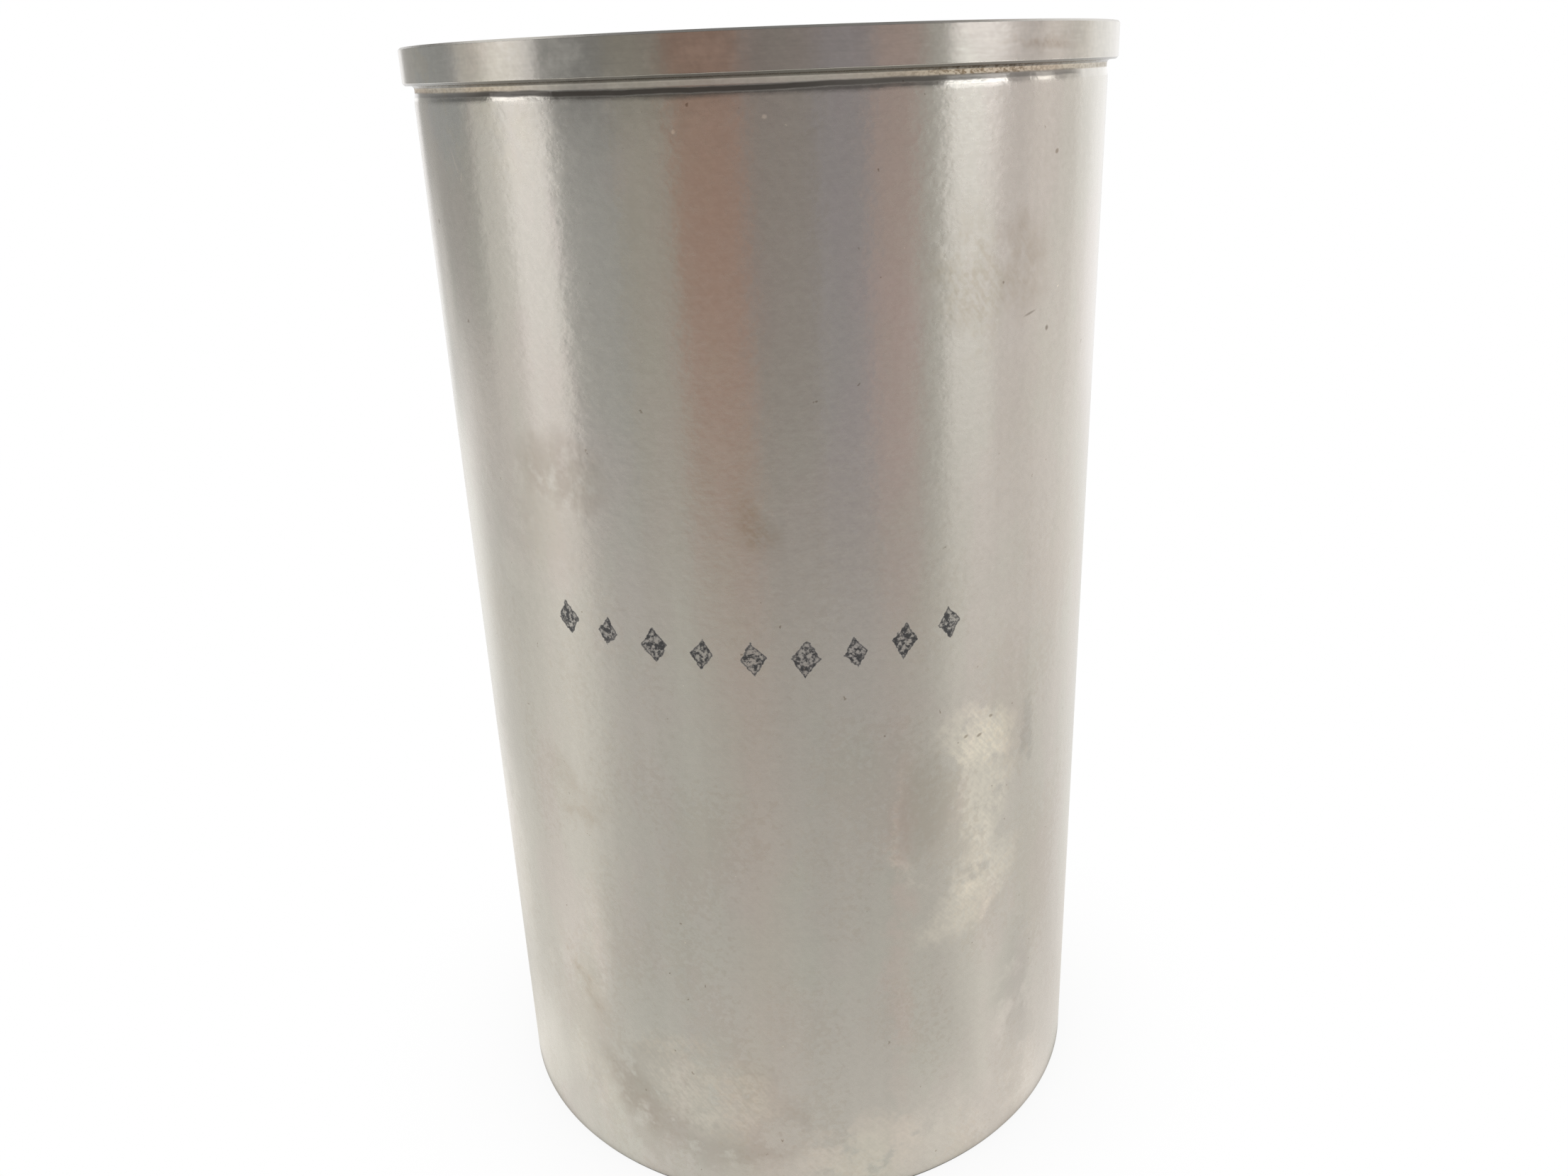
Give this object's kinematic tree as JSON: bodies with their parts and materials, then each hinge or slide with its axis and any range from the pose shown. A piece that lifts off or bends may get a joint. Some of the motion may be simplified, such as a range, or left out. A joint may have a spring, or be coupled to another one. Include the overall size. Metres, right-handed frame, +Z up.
{
  "type": "cylinder liner",
  "caption": "Flanged dry cylinder liner: a thin-walled turned iron sleeve, honed inside and ground outside, with a short collar and neck relief that hang it in an engine block.",
  "frame": {"origin": "centre of the foot, on the surface that the liner stands on", "axes": "+Z up the bore axis, from the foot to the collar; the liner is the same all the way round, so +X and +Y are free"},
  "size_m": [0.094, 0.094, 0.158],
  "materials": {
    "ground_iron": "satin, ground outside and honed inside"
  },
  "bodies": {
    "root": {"cylinder_liner": "ground_iron"}
  },
  "joints": []
}
